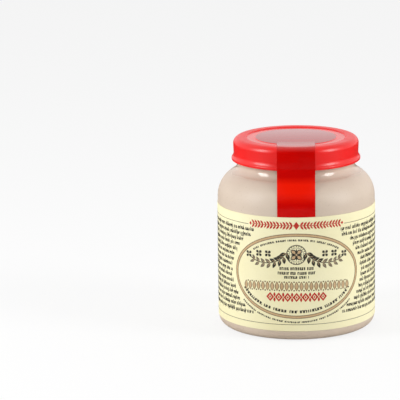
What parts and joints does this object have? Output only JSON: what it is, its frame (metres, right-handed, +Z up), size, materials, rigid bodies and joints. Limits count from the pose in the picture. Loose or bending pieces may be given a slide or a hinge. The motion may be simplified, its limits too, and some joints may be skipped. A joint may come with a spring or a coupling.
{
  "type": "mustard jar",
  "caption": "Round stoneware jar of mustard with rounded shoulders, a red plastic cap, a wrap-round paper label and a sealing strip over the cap.",
  "frame": {"origin": "centre of the foot, on the surface that the jar stands on", "axes": "+Z up along the jar's axis, the front of the label faces -Y, +X to the viewer's right"},
  "size_m": [0.085, 0.0849, 0.1029],
  "materials": {
    "jar": "clear satin glaze over beige stoneware",
    "lid": "glossy moulded red plastic",
    "seal_strip": "glossy red film",
    "label": "matt cream paper with printed ornament"
  },
  "bodies": {
    "root": {"jar": "jar", "lid": "lid", "seal_strip": "seal_strip", "label": "label"}
  },
  "joints": []
}
